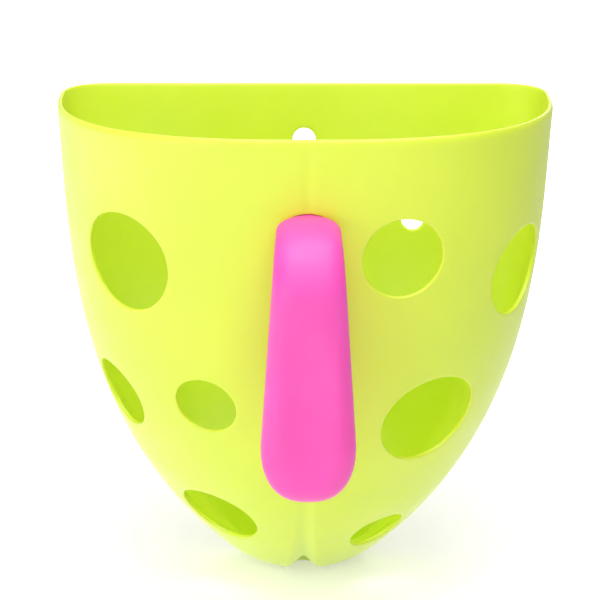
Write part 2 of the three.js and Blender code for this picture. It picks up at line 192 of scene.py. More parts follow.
def mouldedPolypropylene(name, finish):
    # Polypropylene, injection moulded: a soft satin gloss over an even colour, a little light
    # carried through the wall, and a fine mould grain. The real grain of about 0.2 mm is too
    # fine to show here, so it is drawn about five times as coarse.
    material = bpy.data.materials.new(name)
    tree = nodeTree(material)
    place = addNode(tree, "ShaderNodeTexCoord").outputs["Object"]
    tint = addNode(tree, "ShaderNodeTexNoise", {
        "Vector": place, "Scale": 1 / finish["tintSize"], "Detail": noise["tintDetail"],
    })
    colour = addNode(tree, "ShaderNodeValToRGB", {"Fac": tint.outputs["Fac"]})
    deep, full = colour.color_ramp.elements
    deep.position, full.position = noise["tintSpan"]
    deep.color = linearColour(finish["deepColour"])
    full.color = linearColour(finish["colour"])
    sheen = addNode(tree, "ShaderNodeTexNoise", {
        "Vector": place, "Scale": 1 / finish["sheenSize"], "Detail": noise["sheenDetail"],
    })
    rough = addNode(tree, "ShaderNodeMapRange", {
        "Value": sheen.outputs["Fac"], "From Min": noise["span"][0], "From Max": noise["span"][1],
        "To Min": finish["roughness"] - finish["roughnessSpread"],
        "To Max": finish["roughness"] + finish["roughnessSpread"],
    })
    grain = addNode(tree, "ShaderNodeTexNoise", {
        "Vector": place, "Scale": 1 / finish["grainSize"], "Detail": noise["fineDetail"],
    })
    bump = addNode(tree, "ShaderNodeBump", {
        "Height": grain.outputs["Fac"], "Strength": 1.0, "Distance": finish["grainDepth"],
    })
    shader = addNode(tree, "ShaderNodeBsdfPrincipled", {
        "Base Color": colour.outputs["Color"], "Roughness": rough.outputs["Result"],
        "IOR": finish["ior"], "Specular IOR Level": finish["gloss"], "Normal": bump.outputs["Normal"],
        "Subsurface Weight": finish["glow"], "Subsurface Scale": finish["glowDepth"],
        "Subsurface Radius": finish["glowSpread"],
    })
    addNode(tree, "ShaderNodeOutputMaterial", {"Surface": shader.outputs["BSDF"]})
    return material


stainlessTurned = {
    "colour": "#c9cbcc", "darkColour": "#a9acae", "roughness": 0.26, "roughnessSpread": 0.08,
    "lineSpacing": 0.35 * mm,
}


def turnedStainless(finish):
    # Stainless steel, turned and tumbled: bright grey with fine marks that break up the highlights
    material = bpy.data.materials.new("stainlessSteelTurned")
    tree = nodeTree(material)
    place = addNode(tree, "ShaderNodeTexCoord").outputs["Object"]
    lines = addNode(tree, "ShaderNodeTexNoise", {
        "Vector": place, "Scale": 1 / finish["lineSpacing"], "Detail": noise["fineDetail"],
    })
    colour = addNode(tree, "ShaderNodeValToRGB", {"Fac": lines.outputs["Fac"]})
    dark, bright = colour.color_ramp.elements
    dark.position, bright.position = noise["span"]
    dark.color = linearColour(finish["darkColour"])
    bright.color = linearColour(finish["colour"])
    rough = addNode(tree, "ShaderNodeMapRange", {
        "Value": lines.outputs["Fac"], "From Min": noise["span"][0], "From Max": noise["span"][1],
        "To Min": finish["roughness"] - finish["roughnessSpread"],
        "To Max": finish["roughness"] + finish["roughnessSpread"],
    })
    shader = addNode(tree, "ShaderNodeBsdfPrincipled", {
        "Base Color": colour.outputs["Color"], "Roughness": rough.outputs["Result"], "Metallic": 1.0,
    })
    addNode(tree, "ShaderNodeOutputMaterial", {"Surface": shader.outputs["BSDF"]})
    return material


limePlastic = mouldedPolypropylene("limePolypropyleneMoulded", limeMoulded)
pinkPlastic = mouldedPolypropylene("pinkPolypropyleneMoulded", pinkMoulded)
stainless = turnedStainless(stainlessTurned)
print("stage: materials made")


# Basket wall: u runs round a level from the front centre line, measured at the rim,
# and v runs down the side outline from the rim to the floor.

basket = {
    "rimHalf": bodyHigh.x, "rimDepth": -bodyLow.y, "height": bodyHigh.z - bodyLow.z,
    "backCorner": 24 * mm, "rimSquareness": 2.58, "floorSquareness": 1.8, "wall": 2.6 * mm,
    "rimDraft": 4.2, "rimEase": 58 * mm,
    "toeHalf": 46.25 * mm, "toeHeight": 13 * mm, "toeAngle": 44.6, "toeEase": 123 * mm,
    "floorHalf": 23.5 * mm, "heelRound": 6 * mm,
    "creaseHalf": (4.5 * mm, 10 * mm), "creaseDepth": (0.4 * mm, 7.5 * mm), "creaseOnset": 7,
    "lipOutside": 3.4 * mm, "lipInside": 1.0 * mm, "lipCrown": 0.6,
    "edgeRound": 0.9 * mm, "creaseFade": 4,
    # fineness of the mesh
    "lipRows": (8, 6), "floorRows": 14, "floorHub": 0.1,
    "meshSize": 3 * mm, "creaseMeshSize": 1.2 * mm, "creaseMeshReach": 12 * mm, "leastSpacing": 0.2 * mm,
    "toeFineness": 0.5, "toeZone": 2, "seamShare": 0.72, "guardGap": 1.6 * mm, "clearGap": 3.0 * mm,
    "outlineSamples": 3001, "frontSamples": 400,
}


def sideOutline():
    # cubic sweep from the rim to the toe, then a round to the floor: run, half-width and height
    rimTurn = math.radians(basket["rimDraft"])
    toeTurn = math.radians(basket["toeAngle"])
    rim = np.array([basket["rimHalf"], basket["height"]])
    toe = np.array([basket["toeHalf"], basket["toeHeight"]])
    rimPull = rim - basket["rimEase"] * np.array([math.sin(rimTurn), math.cos(rimTurn)])
    toePull = toe + basket["toeEase"] * np.array([math.cos(toeTurn), math.sin(toeTurn)])
    corner = np.array([basket["toeHalf"] - basket["toeHeight"] / math.tan(toeTurn), 0.0])
    floor = np.array([basket["floorHalf"], 0.0])
    t = np.linspace(0, 1, basket["outlineSamples"])[:, None]
    side = (1 - t) ** 3 * rim + 3 * t * (1 - t) ** 2 * rimPull
    side = side + 3 * t * t * (1 - t) * toePull + t ** 3 * toe
    under = (1 - t) ** 2 * toe + 2 * t * (1 - t) * corner + t * t * floor
    path = np.concatenate([side, under[1:]])
    run = np.concatenate([[0], np.cumsum(np.linalg.norm(np.diff(path, axis=0), axis=1))])
    return run, path[:, 0], path[:, 1]


def frontBend(turn, squareness):
    # superellipse by polar angle, as shares of the half-width and of the bulge
    total = np.abs(np.sin(turn)) ** squareness + np.abs(np.cos(turn)) ** squareness
    reach = total ** (-1 / squareness)
    return reach * np.sin(turn), reach * np.cos(turn)


def frontLength():
    across, out = frontBend(np.linspace(0, np.pi / 2, basket["frontSamples"]), basket["rimSquareness"])
    bulge = basket["rimDepth"] - basket["backCorner"]
    return np.hypot(np.diff(across * basket["rimHalf"]), np.diff(out * bulge)).sum()


outlineRun, outlineHalf, outlineHeight = sideOutline()
floorRun = outlineRun[-1]
frontRun = frontLength()
cornerRun = np.pi / 2 * basket["backCorner"]
backRun = basket["rimHalf"] - basket["backCorner"]
halfLoop = frontRun + cornerRun + backRun


def runAtHeight(height):
    return np.interp(height, outlineHeight[::-1], outlineRun[::-1])


def aroundLoop(u):
    # the same place on the loop, measured from the front centre line to either side
    return (np.asarray(u, float) + halfLoop) % (2 * halfLoop) - halfLoop


def plainWall(u, v):
    # outer face without the crease
    u = aroundLoop(u)
    half = np.interp(v, outlineRun, outlineHalf)
    height = np.interp(v, outlineRun, outlineHeight)
    scale = half / basket["rimHalf"]
    corner = basket["backCorner"] * scale
    depth = basket["rimDepth"] * scale
    along = np.abs(u)
    across, out = frontBend(
        np.clip(along / frontRun, 0, 1) * np.pi / 2,
        lerp(basket["floorSquareness"], basket["rimSquareness"], height / basket["height"]))
    turn = np.clip((along - frontRun) / cornerRun, 0, 1) * np.pi / 2
    home = np.clip((along - frontRun - cornerRun) / backRun, 0, 1)
    inFront = along <= frontRun
    inCorner = along <= frontRun + cornerRun
    x = np.where(inCorner, half - corner + corner * np.cos(turn), (half - corner) * (1 - home))
    x = np.where(inFront, half * across, x)
    y = np.where(inCorner, -corner + corner * np.sin(turn), 0.0)
    y = np.where(inFront, -corner - (depth - corner) * out, y)
    above = np.maximum(basket["heelRound"] - height, 0)
    heel = basket["heelRound"] - np.sqrt(basket["heelRound"] ** 2 - above ** 2)
    y = y - heel * (1 + y / depth)
    return np.stack(np.broadcast_arrays(np.sign(u) * x, y, bodyLow.z + height), -1)


def wallNormal(u, v):
    step = 0.25 * mm
    v = np.clip(v, step, floorRun - step)
    around = plainWall(u + step, v) - plainWall(u - step, v)
    down = plainWall(u, v + step) - plainWall(u, v - step)
    return unit(np.cross(down, around))


def sunkWall(u, v, depth):
    # wall face at a depth below the creased outer face
    base = plainWall(u, v)
    opened = np.clip(1 - (base[..., 2] - bodyLow.z) / basket["height"], 0, 1) ** basket["creaseOnset"]
    near = np.clip(1 - np.abs(base[..., 0]) / lerp(*basket["creaseHalf"], opened), 0, 1)
    sunk = (1 - np.cos(np.pi * near)) / 2
    crease = np.where(np.abs(aroundLoop(u)) < frontRun, lerp(*basket["creaseDepth"], opened) * sunk, 0)
    return base - wallNormal(u, v) * (crease + depth)[..., None]


def outerWall(u, v):
    return sunkWall(u, v, 0.0)


def innerWall(u, v):
    return sunkWall(u, v, basket["wall"])


# Handle root: local y runs into the basket from the wall's outer face, z up the wall

root = {
    "belowRim": 43 * mm, "tenonHalf": 7.3 * mm, "tenonHalfHeight": 5.5 * mm, "tenonCrown": 1.4 * mm,
    "tenonCorner": 0.8 * mm, "slotClearance": 0.4 * mm, "slotLip": 0.15 * mm, "seatGap": 0.3 * mm,
    "padHalf": 19 * mm, "padHalfHeight": 14 * mm, "padThickness": 2.2 * mm, "padCorner": 5 * mm,
    "padLip": 0.5 * mm, "padFlank": (0.2, 0.75), "tenonLead": 0.5 * mm,
}


def rootFrame():
    height = basket["height"] - root["belowRim"]
    front = plainWall(0.0, runAtHeight(height))
    higher = plainWall(0.0, runAtHeight(height + basket["wall"]))
    lean = math.atan2(front[1] - higher[1], basket["wall"])
    return Matrix.Translation(front) @ Matrix.Rotation(lean, 4, "X"), lean


rootTurn, wallLean = rootFrame()
rootAt = np.array(rootTurn.translation)
rootX, rootY, rootZ = (np.array(rootTurn.to_3x3().col[i]) for i in range(3))
padFace = basket["wall"] + root["padThickness"]
plateFace = padFace + root["seatGap"]


def fromRoot(x, y, z):
    # places given in the root's frame
    x, y, z = np.broadcast_arrays(x, y, z)
    return rootAt + x[..., None] * rootX + y[..., None] * rootY + z[..., None] * rootZ


def padWall(u, v):
    # flat face of the seat pad, reached along the wall's normal
    base = innerWall(u, v)
    inward = -wallNormal(u, v)
    rise = (padFace - (base - rootAt) @ rootY) / (inward @ rootY)
    return base + inward * rise[..., None]


# Openings: each has a centre on the wall, an axis, and an outline in the plane across the axis

def evenTurns(count):
    return np.linspace(0, 2 * np.pi, count, endpoint=False)


def circleOutline(radius, turns):
    ring = np.stack([np.cos(turns), np.sin(turns)], -1)
    return lambda grow: (radius + grow) * ring


def boxOutline(half, halfHeight, corner, crown, turns):
    # rounded rectangle whose top falls by the crown at its ends, met by rays from its middle
    leastCorner = 0.2 * mm
    halvings = 40

    def grown(grow):
        wide = half + grow
        tall = halfHeight + grow
        bend = max(corner + grow, leastCorner)
        ray = unit(np.stack([wide * np.cos(turns), tall * np.sin(turns)], -1))
        low = np.zeros(len(turns))
        high = np.full(len(turns), wide + tall)
        for _ in range(halvings):
            middle = (low + high) / 2
            past = np.maximum(np.abs(ray * middle[:, None]) - [wide - bend, tall - bend], 0)
            inside = np.linalg.norm(past, axis=1) < bend
            low = np.where(inside, middle, low)
            high = np.where(inside, high, middle)
        ring = ray * low[:, None]
        fall = 1 - crown * (ring[:, 0] / wide) ** 2 / tall
        ring[:, 1] *= np.where(ring[:, 1] > 0, fall, 1)
        return ring

    return grown


class Opening:
    def __init__(self, u, v, outline, across=None, up=None):
        self.u = u
        self.v = v
        self.outline = outline
        self.centre = plainWall(u, v)
        self.out = wallNormal(u, v)
        if up is None:
            step = 0.5 * mm
            across = plainWall(u + step, v) - plainWall(u - step, v)
            across = unit(across - self.out * (across @ self.out))
            up = np.cross(self.out, across)
        self.across = across
        self.up = up

    def onWall(self, face, grow):
        # wall places whose points lie on the outline, found by Newton steps
        goal = self.outline(grow)
        step = 0.2 * mm
        reach = 12 * mm  # longest move in one step
        tries = 25
        u = np.full(len(goal), self.u)
        v = np.full(len(goal), self.v)

        def flat(u, v):
            gap = face(u, v) - self.centre
            return np.stack([gap @ self.across, gap @ self.up], -1)

        for _ in range(tries):
            now = flat(u, v)
            byU = (flat(u + step, v) - now) / step
            byV = (flat(u, v + step) - now) / step
            miss = goal - now
            area = byU[:, 0] * byV[:, 1] - byU[:, 1] * byV[:, 0]
            u = u + np.clip((miss[:, 0] * byV[:, 1] - miss[:, 1] * byV[:, 0]) / area, -reach, reach)
            v = v + np.clip((byU[:, 0] * miss[:, 1] - byU[:, 1] * miss[:, 0]) / area, -reach, reach)
            v = np.clip(v, step, floorRun - step)
        return u, v


def roundedLip(opening, face, towards, size, steps=4):
    # rows of a quarter-round from the wall's face into the opening
    rows = []
    for turn in np.linspace(0, np.pi / 2, steps):
        u, v = opening.onWall(face, size * (1 - np.sin(turn)))
        rows.append(face(u, v) + towards * size * (1 - np.cos(turn)))
    return rows


def insideLoop(points, loop):
    # even-odd test of points against a closed loop
    x = points[:, 0]
    y = points[:, 1]
    hit = np.zeros(len(points), bool)
    for (x0, y0), (x1, y1) in zip(loop, np.roll(loop, -1, axis=0)):
        if y0 != y1:
            crosses = (y0 > y) != (y1 > y)
            hit ^= crosses & (x < (x1 - x0) * (y - y0) / (y1 - y0) + x0)
    return hit


def wallSheet(surface, face, openings, uLines, vLines):
    # triangles over one face of the wall, with its openings left out
    spots = np.stack(np.meshgrid(uLines, vLines, indexing="ij"), -1).reshape(-1, 2)
    sameSpot = 1e-5
    loops = []
    guards = []
    for opening, grow in openings:
        loops.append(np.stack(opening.onWall(face, grow), -1))
        guards.append(np.stack(opening.onWall(face, grow + basket["guardGap"]), -1))
        clear = np.stack(opening.onWall(face, grow + basket["clearGap"]), -1)
        spots = spots[~insideLoop(spots, clear)]
    places = np.concatenate([spots] + guards + loops)
    start = len(places) - sum(len(loop) for loop in loops)
    edges = []
    owner = np.full(len(places), -1)
    for number, loop in enumerate(loops):
        count = len(loop)
        edges += [(start + i, start + (i + 1) % count) for i in range(count)]
        owner[start:start + count] = number
        start += count
    flat = [Vector(place / mm) for place in places]
    verts, _, faces, origins, _, _ = delaunay_2d_cdt(flat, edges, [], 0, sameSpot)
    places = np.array(verts) * mm
    source = np.array([owner[origin[0]] if origin else -1 for origin in origins])
    first = surface.add(face(places[:, 0], places[:, 1]))
    for corners in faces:
        owners = {source[i] for i in corners}
        if owners == {-1} or len(owners) > 1:
            surface.faces.append(tuple(first + i for i in corners))


# Scoop basket

drainHoles = [  # bearing from the front centre line in degrees, share of the height, diameter
    (-43.5, 0.746, 52.5 * mm), (-62, 0.44, 40 * mm), (-25.6, 0.467, 33 * mm), (-39.5, 0.172, 45 * mm),
    (17.8, 0.775, 41 * mm), (59.3, 0.706, 48.5 * mm), (34.6, 0.425, 54.5 * mm), (38.5, 0.127, 31.5 * mm),
]
hangHoles = {
    "diameter": 12.5 * mm, "topBelowRim": 31 * mm, "pairBelowRim": 76 * mm, "pairSpacing": 120 * mm,
}
ringSides = 96


def drainOpening(bearing, level, diameter):
    power = 2 / lerp(basket["floorSquareness"], basket["rimSquareness"], level)
    turn = math.radians(abs(bearing))
    polar = math.atan2(math.sin(turn) ** power, math.cos(turn) ** power)
    u = math.copysign(polar / (np.pi / 2) * frontRun, bearing)
    outline = circleOutline(diameter / 2, evenTurns(ringSides))
    return Opening(u, runAtHeight(level * basket["height"]), outline)


def hangOpening(x, belowRim):
    v = runAtHeight(basket["height"] - belowRim)
    flatHalf = np.interp(v, outlineRun, outlineHalf) * backRun / basket["rimHalf"]
    along = frontRun + cornerRun + backRun * (1 - abs(x) / flatHalf)
    outline = circleOutline(hangHoles["diameter"] / 2, evenTurns(ringSides // 2))
    return Opening(-along if x < 0 else along, v, outline)


def meshLines(lipDrop):
    # lines of the wall's mesh, finer beside the crease and round the toe
    fineEnd = basket["creaseMeshReach"]
    coarse = np.linspace(fineEnd, halfLoop, round((halfLoop - fineEnd) / basket["meshSize"]))
    right = np.concatenate([np.arange(0, fineEnd, basket["creaseMeshSize"]), coarse])
    loop = np.concatenate([-right[:0:-1], right[:-1]])
    cut = -(frontRun + cornerRun + basket["seamShare"] * backRun)
    uLines = np.concatenate([loop[loop > cut], loop[loop <= cut] + 2 * halfLoop])
    uLines = uLines[np.abs(uLines - cut) > basket["leastSpacing"]]
    uLines = np.concatenate([[cut], uLines, [cut + 2 * halfLoop]])
    lipRun = runAtHeight(basket["height"] - lipDrop)
    toeRun = runAtHeight(basket["toeZone"] * basket["toeHeight"])
    upper = np.linspace(lipRun, toeRun, round((toeRun - lipRun) / basket["meshSize"]))
    fine = basket["toeFineness"] * basket["meshSize"]
    lower = np.linspace(toeRun, floorRun, round((floorRun - toeRun) / fine))
    return uLines, np.concatenate([upper[:-1], lower])


def rimRows(uLines):
    # rounded lip: a tall roll outside, a short one inside
    rows = []
    outer = outerWall(uLines, np.full(len(uLines), runAtHeight(basket["height"] - basket["lipOutside"])))
    inner = innerWall(uLines, np.full(len(uLines), runAtHeight(basket["height"] - basket["lipInside"])))
    crest = lerp(outer, inner, basket["lipCrown"])
    crest[:, 2] = bodyHigh.z
    outerCount, innerCount = basket["lipRows"]
    outerTurns = np.linspace(0, np.pi / 2, outerCount)
    innerTurns = np.linspace(np.pi / 2, 0, innerCount)[1:]
    for edge, turns in ((outer, outerTurns), (inner, innerTurns)):
        for turn in turns:
            row = lerp(crest, edge, np.cos(turn))
            row[:, 2] = lerp(edge[:, 2], crest[:, 2], np.sin(turn))
            rows.append(row)
    return rows


def makeScoop():
    surface = Surface()
    holes = [drainOpening(*hole) for hole in drainHoles]
    holes.append(hangOpening(0, hangHoles["topBelowRim"]))
    for side in (-1, 1):
        holes.append(hangOpening(side * hangHoles["pairSpacing"] / 2, hangHoles["pairBelowRim"]))
    turns = evenTurns(ringSides)
    rootRun = runAtHeight(basket["height"] - root["belowRim"])
    slotOutline = boxOutline(
        root["tenonHalf"] + root["slotClearance"], root["tenonHalfHeight"] + root["slotClearance"],
        root["tenonCorner"], root["tenonCrown"], turns)
    padOutline = boxOutline(root["padHalf"], root["padHalfHeight"], root["padCorner"], 0.0, turns)
    slot = Opening(0.0, rootRun, slotOutline, rootX, rootZ)
    pad = Opening(0.0, rootRun, padOutline, rootX, rootZ)

    drilled = [(hole, basket["edgeRound"]) for hole in holes]
    uLines, outerLines = meshLines(basket["lipOutside"])
    _, innerLines = meshLines(basket["lipInside"])
    wallSheet(surface, outerWall, drilled + [(slot, root["slotLip"])], uLines, outerLines)
    wallSheet(surface, innerWall, drilled + [(pad, root["padLip"])], uLines, innerLines)
    surface.skin(rimRows(uLines), closed=False)
    for hole in holes:
        outside = roundedLip(hole, outerWall, -hole.out, basket["edgeRound"])
        inside = roundedLip(hole, innerWall, hole.out, basket["edgeRound"])
        surface.skin(outside + inside[::-1])

    # seat pad on the inner face, and the slot through it
    lip = root["padLip"]
    foot = innerWall(*pad.onWall(innerWall, 0.0))
    top = padWall(*pad.onWall(padWall, 0.0))
    rows = [innerWall(*pad.onWall(innerWall, lip))]
    rows += [lerp(foot, top, share) for share in root["padFlank"]]
    rows.append(padWall(*pad.onWall(padWall, -lip)))
    rows += roundedLip(slot, padWall, -rootY, root["slotLip"])
    rows += roundedLip(slot, outerWall, rootY, root["slotLip"])[::-1]
    surface.skin(rows)

    # floor of the toe, outside and inside, where the crease soon fades
    toeRuns = np.full(len(uLines), floorRun)
    for depth in (0.0, basket["wall"]):
        ring = sunkWall(uLines, toeRuns, depth)[:-1]
        plain = (plainWall(uLines, toeRuns) - depth * wallNormal(uLines, toeRuns))[:-1]
        hub = np.array([0.0, plain[:, 1].mean(), np.median(plain[:, 2])])
        floorRows = []
        for share in np.linspace(1, basket["floorHub"], basket["floorRows"]):
            floorRows.append(hub + (plain - hub) * share + (ring - plain) * share ** basket["creaseFade"])
        surface.skin(floorRows)
        surface.fan(floorRows[-1])
    settle(surface.solid("scoopBasket"), limePlastic, "scoop_body")


makeScoop()


# Handle: two hollow shells that part along the middle of the sides

handle = {
    "neckLength": 3 * mm, "bendRadius": 30 * mm, "gripLength": 101 * mm,
    "neckWidth": 31.7 * mm, "palmWidth": 46.6 * mm, "neckThickness": 15 * mm, "palmThickness": 18 * mm,
    "shoulder": 12 * mm, "shoulderSquareness": 2.8, "crest": (3 * mm, 40 * mm), "squareness": 2.5,
    "endRound": 29 * mm, "endSquareness": 2.4, "tipRound": 10 * mm,
    "wall": 2.2 * mm, "coverStart": 16 * mm, "partingGap": 0.3 * mm, "partingRound": 0.5 * mm,
    "dishDepth": 3.4 * mm, "dishStart": 58 * mm, "dishEndMargin": 8 * mm, "dishWidthShare": 0.70,
    "dishEdge": 1.25,
    "bossRadius": 4 * mm, "sleeveRadius": 5.2 * mm, "sleeveInset": 0.8 * mm,
    "headSeat": 3 * mm, "pilotTip": 2 * mm, "tipFlat": 0.02 * mm,
    "edgeShare": 0.3, "wallShare": 0.4,  # most of a thin stretch that a round or the wall may take
    "edgeSpread": (0, 0.1, 0.3, 0.6, 1.0), "edgeMargin": 0.03, "arcSteps": 56,
    "stationGap": 2 * mm, "tipSteps": 26, "shoulderSteps": 14, "neckSteps": 4,
}
coverScrew = {
    "shank": 2.9 * mm, "head": 6 * mm, "headHeight": 2 * mm, "pitch": 1.1 * mm,
    "places": {"upper": 66 * mm, "lower": 118 * mm},
}
clampScrew = {
    "shank": 4 * mm, "head": 8 * mm, "headHeight": 2.8 * mm, "pitch": 1.4 * mm, "grip": 9 * mm,
}
screwClearance = 0.3 * mm
cutMargin = 1 * mm
bendAngle = math.pi / 2 - wallLean
gripStart = handle["neckLength"] + handle["bendRadius"] * bendAngle
handleLength = gripStart + handle["gripLength"]
endStart = handleLength - handle["endRound"]
handleTip = handleLength - handle["tipFlat"]


def onHandle(distance, x, depth):
    # place beside the handle's middle line, which runs out of the wall and bends down
    turn = np.clip((distance - handle["neckLength"]) / handle["bendRadius"], 0, bendAngle)
    early = np.minimum(distance, handle["neckLength"])
    late = np.maximum(distance - gripStart, 0)
    y = -early - handle["bendRadius"] * np.sin(turn) - late * np.cos(turn) - depth * np.sin(turn)
    z = handle["bendRadius"] * (np.cos(turn) - 1) - late * np.sin(turn) + depth * np.cos(turn)
    return fromRoot(x, y, z)


def handleHalves(distance):
    # half-width, then the thickness in front of and behind the middle line
    share = np.clip((distance - handle["shoulder"]) / (endStart - handle["shoulder"]), 0, 1)
    left = handleLength - distance
    end = swell(left / handle["endRound"], handle["endSquareness"])
    width = lerp(handle["neckWidth"], handle["palmWidth"], share) / 2 * end
    tip = swell(left / handle["tipRound"])
    thickness = lerp(handle["neckThickness"], handle["palmThickness"], share) / 2 * tip
    shoulder = swell(distance / handle["shoulder"], handle["shoulderSquareness"])
    rise = np.clip((distance - handle["crest"][0]) / (handle["crest"][1] - handle["crest"][0]), 0, 1)
    crest = rise * rise * (3 - 2 * rise)
    tenon = root["tenonHalfHeight"]
    width = lerp(root["tenonHalf"], width, shoulder)
    return width, lerp(tenon, thickness, crest), lerp(tenon, thickness, shoulder)


def palmDish(distance, x, halfWidth):
    span = (distance - handle["dishStart"]) / (handleLength - handle["dishEndMargin"] - handle["dishStart"])
    across = np.clip(x / (halfWidth * handle["dishWidthShare"]), -1, 1)
    along = swell(2 * np.clip(np.minimum(span, 1 - span), 0, 1)) ** 2
    return handle["dishDepth"] * along * (1 - across ** 2) ** handle["dishEdge"]


def handleArc(distance, turns, inset):
    # x and depth of the cross-section at polar angles
    width, front, rear = handleHalves(distance)
    power = handle["squareness"]
    reach = (np.abs(np.cos(turns)) ** power + np.abs(np.sin(turns)) ** power) ** (-1 / power)
    x = (width - inset) * reach * np.cos(turns)
    depth = (np.where(np.sin(turns) > 0, front, rear) - inset) * reach * np.sin(turns)
    facing = np.clip(reach * np.sin(turns), 0, 1) ** (power / 2)
    return x, depth - palmDish(distance, x, width) * facing


def shellSize(distance, side):
    # half-width and thickness of one shell, and the round of its parting edges
    width, front, rear = handleHalves(distance)
    thickness = front if side > 0 else rear
    share = handle["edgeShare"]
    return width, thickness, min(handle["partingRound"], share * thickness, share * width)


def shellTurns(distance, side):
    # polar angles across one shell, close together at its parting edges
    _, thickness, edge = shellSize(distance, side)
    fine = (handle["partingGap"] / 2 + edge * np.array(handle["edgeSpread"])) / thickness
    margin = handle["edgeMargin"]
    middle = np.linspace(fine[-1] + margin, np.pi - fine[-1] - margin, handle["arcSteps"])
    return np.concatenate([fine, middle, np.pi - fine[::-1]])


def shellRing(distance, side, hollow):
    # loop of one shell: its outer face, then back along the parting, or along the hollow
    face = handle["partingGap"] / 2
    width, thickness, edge = shellSize(distance, side)
    x, depth = handleArc(distance, side * shellTurns(distance, side), 0.0)
    rise = np.clip(side * depth - face, 0, edge)
    x = x - np.sign(x) * (edge - np.sqrt(edge ** 2 - (edge - rise) ** 2))
    share = handle["wallShare"]
    inset = min(handle["wall"], share * width, share * thickness)
    start = face / (thickness - inset)
    xBack, depthBack = handleArc(distance, side * np.linspace(np.pi - start, start, len(x)), inset)
    if not hollow:
        depthBack[:] = side * face
    depth[[0, -1]] = side * face
    depthBack[[0, -1]] = side * face
    return onHandle(distance, np.concatenate([x, xBack]), np.concatenate([depth, depthBack]))


def neckTurns(distance):
    # polar angles round the whole cross-section, in the order of the front shell's loop
    return np.concatenate([shellTurns(distance, 1), np.pi + shellTurns(distance, -1)])


def neckRing(distance):
    return onHandle(distance, *handleArc(distance, neckTurns(distance), 0.0))


def tenonRing(y, shrink):
    turns = neckTurns(handle["shoulder"])
    outline = boxOutline(
        root["tenonHalf"], root["tenonHalfHeight"], root["tenonCorner"], root["tenonCrown"], turns)
    ring = outline(-shrink)
    return fromRoot(ring[:, 0], y, ring[:, 1])


def gripStations(start, end):
    # distances of the cross-sections, closer together towards the tip
    straight = np.arange(start, endStart, handle["stationGap"])
    last = endStart + (end - endStart) * np.sin(np.linspace(0, np.pi / 2, handle["tipSteps"]))
    return np.concatenate([straight, last])


def rod(start, end, radius):
    # round bar between two points, its facets turned a little by size so that bars do not share corners
    sides = 40
    turnSize = 7 * mm  # radius that turns the facets by one radian
    aside = [1.0, 0.3, 0.2]  # any direction off the bar's own
    axis = unit(end - start)
    across = unit(np.cross(axis, aside))
    up = np.cross(axis, across)
    turns = evenTurns(sides)[:, None] + radius / turnSize
    ring = radius * (np.cos(turns) * across + np.sin(turns) * up)
    bar = Surface()
    bar.skin([start + ring, end + ring])
    bar.fan(start + ring)
    bar.fan(end + ring)
    return bar


def coverRod(distance, fromDepth, toDepth, radius):
    return rod(onHandle(distance, 0.0, fromDepth), onHandle(distance, 0.0, toDepth), radius)


def coverDepths(distance):
    # along a cover screw: front shell's inner face, screw tip, head seat and rear face
    width, front, rear = handleHalves(distance)
    inner = front - palmDish(distance, 0.0, width) - handle["wall"]
    return inner, inner - handle["pilotTip"], handle["headSeat"] - rear, -rear


def shellRows(side, start, end):
    # rows of a shell from its solid start, through its hollow, to its solid tip
    hollowStart = start + handle["wall"]
    hollowEnd = handleLength - 2 * handle["wall"]
    stations = gripStations(start, end)
    inside = stations[(stations > hollowStart) & (stations < hollowEnd)]
    rows = [shellRing(start, side, False), shellRing(hollowStart, side, False)]
    rows += [shellRing(distance, side, True) for distance in (hollowStart, *inside, hollowEnd)]
    rows += [shellRing(distance, side, False) for distance in (hollowEnd, *stations[stations > hollowEnd])]
    return rows


def makeFrontShell():
    surface = Surface()
    lead = root["tenonLead"]
    tenon = [tenonRing(padFace, lead), tenonRing(padFace - lead, 0.0), tenonRing(0.0, 0.0)]
    ease = 1 - np.cos(np.linspace(0, np.pi / 2, handle["shoulderSteps"]))
    shoulder = root["seatGap"] + (handle["shoulder"] - root["seatGap"]) * ease
    straight = np.linspace(handle["shoulder"], handle["coverStart"], handle["neckSteps"])[1:]
    neck = np.concatenate([shoulder, straight])
    rows = tenon + [neckRing(distance) for distance in neck] + shellRows(1, handle["coverStart"], handleTip)
    surface.skin(rows)
    surface.fan(rows[0])
    surface.fan(rows[-1])
    piece = surface.solid("handleFrontShell")
    for distance in coverScrew["places"].values():
        inner, screwTip, _, _ = coverDepths(distance)
        shank = coverScrew["shank"] / 2 + screwClearance
        bossEnd = inner + handle["wall"] / 2
        boss = coverRod(distance, handle["partingGap"] / 2, bossEnd, handle["bossRadius"])
        combine(piece, boss, "UNION")
        combine(piece, coverRod(distance, -cutMargin, screwTip + screwClearance, shank), "DIFFERENCE")
    pilot = rod(fromRoot(0.0, padFace - clampScrew["grip"] - screwClearance, 0.0),
                fromRoot(0.0, padFace + cutMargin, 0.0), clampScrew["shank"] / 2 + screwClearance)
    combine(piece, pilot, "DIFFERENCE")
    settle(piece, pinkPlastic, "handle_front_shell")


